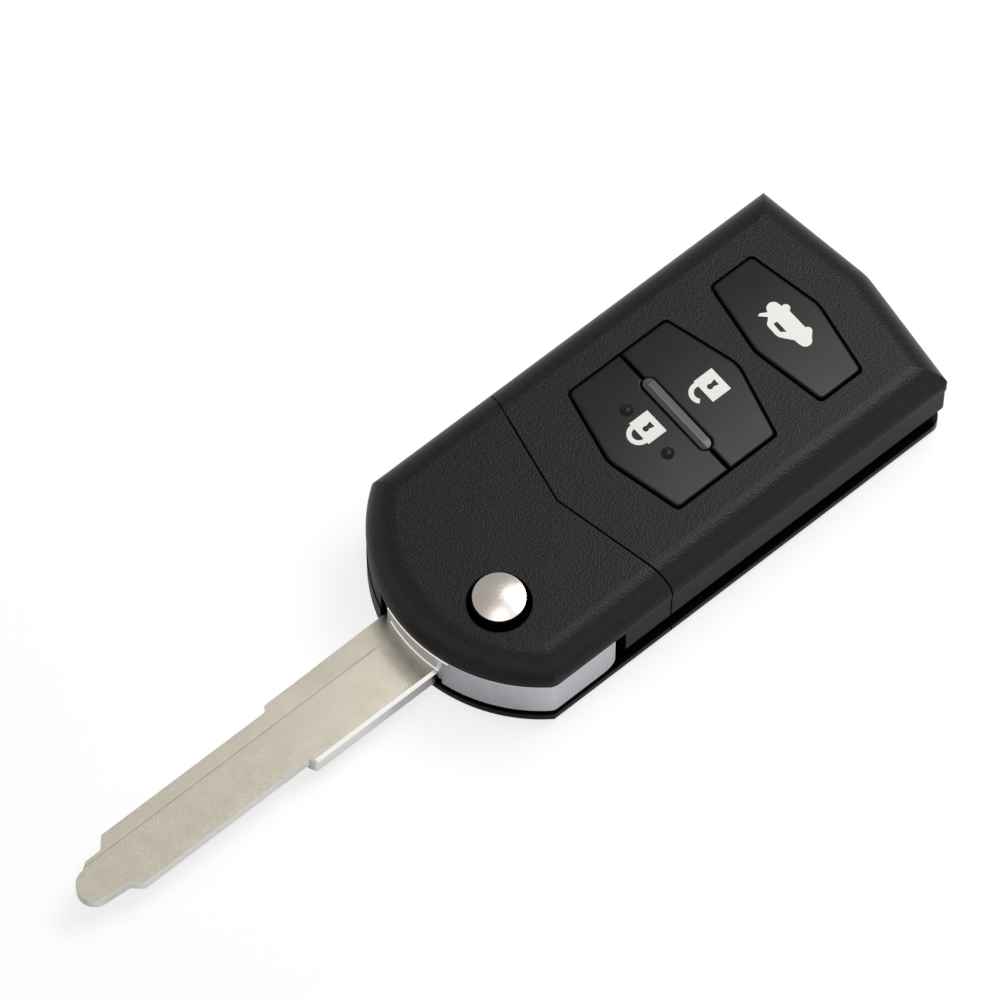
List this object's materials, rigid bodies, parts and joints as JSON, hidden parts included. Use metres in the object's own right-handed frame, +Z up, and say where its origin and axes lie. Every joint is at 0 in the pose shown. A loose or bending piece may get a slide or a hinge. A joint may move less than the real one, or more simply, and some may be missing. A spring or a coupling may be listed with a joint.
{
  "type": "folding car key shell",
  "caption": "Empty folding car key shell: a swing-out steel blade in a silver holder, a chrome release button, and lock, unlock and trunk keys in a dark case.",
  "frame": {"origin": "where the axis of the swinging blade meets the back face, on which the shell lies", "axes": "+X along the case, away from the open blade; +Y away from the side with the blade slot; +Z up, out of the face with the keys"},
  "size_m": [0.1331, 0.037, 0.0176],
  "materials": {
    "case_plastic": "fine leather grain, matt",
    "cover_plastic": "smooth, matt",
    "key_plastic": "smooth, satin",
    "bar_plastic": "smoke grey, satin",
    "frame_plastic": "moulded, matt",
    "clip_plastic": "moulded, matt",
    "mat_rubber": "moulded, matt",
    "seal_rubber": "moulded, matt",
    "holder_metal": "satin, silver blue grey",
    "blade_steel": "satin, nickel plated",
    "pin_steel": "rolled",
    "washer_steel": "stamped",
    "button_chrome": "polished",
    "spring_steel": "drawn wire",
    "screw_steel": "zinc plated"
  },
  "bodies": {
    "case": {"head_top_cover": "case_plastic", "head_bottom_cover": "case_plastic", "remote_top_cover": "case_plastic", "remote_bottom_cover": "case_plastic", "keypad_mat": "mat_rubber", "indicator_bar": "bar_plastic", "board_frame": "frame_plastic", "chip_clip": "clip_plastic", "bearing_washer": "washer_steel", "flip_spring": "spring_steel", "case_screws": "screw_steel", "joining_screws": "screw_steel"},
    "blade": {"blade_holder": "holder_metal", "key_blade": "blade_steel", "blade_pin": "pin_steel"},
    "release": {"release_button": "button_chrome"},
    "lock": {"lock_key": "key_plastic"},
    "unlock": {"unlock_key": "key_plastic"},
    "trunk": {"trunk_key": "key_plastic"},
    "battery_door": {"battery_cover": "cover_plastic", "battery_seal": "seal_rubber"}
  },
  "joints": [
    {"name": "blade_flip", "type": "hinge", "parent": "case", "child": "blade", "pos_m": [0, 0, 0], "axis": [0, 0, 1], "range_deg": [0, 180], "stiffness_Nm_per_rad": 0.01, "springref_deg": -89.95},
    {"name": "release_press", "type": "slide", "parent": "blade", "child": "release", "axis": [0, 0, -1], "range_m": [0, 0.002], "stiffness_N_per_m": 1200, "springref_m": -0.002, "deforming": ["flip_spring"]},
    {"name": "lock_press", "type": "slide", "parent": "case", "child": "lock", "axis": [0, 0, -1], "range_m": [0, 0.0005], "stiffness_N_per_m": 4000, "springref_m": -0.0003},
    {"name": "unlock_press", "type": "slide", "parent": "case", "child": "unlock", "axis": [0, 0, -1], "range_m": [0, 0.0005], "stiffness_N_per_m": 4000, "springref_m": -0.0003},
    {"name": "trunk_press", "type": "slide", "parent": "case", "child": "trunk", "axis": [0, 0, -1], "range_m": [0, 0.0005], "stiffness_N_per_m": 4000, "springref_m": -0.0003},
    {"name": "battery_cover_turn", "type": "hinge", "parent": "case", "child": "battery_door", "pos_m": [0.0435, 0.01195, 0], "axis": [0, 0, -1], "range_deg": [0, 50]}
  ]
}
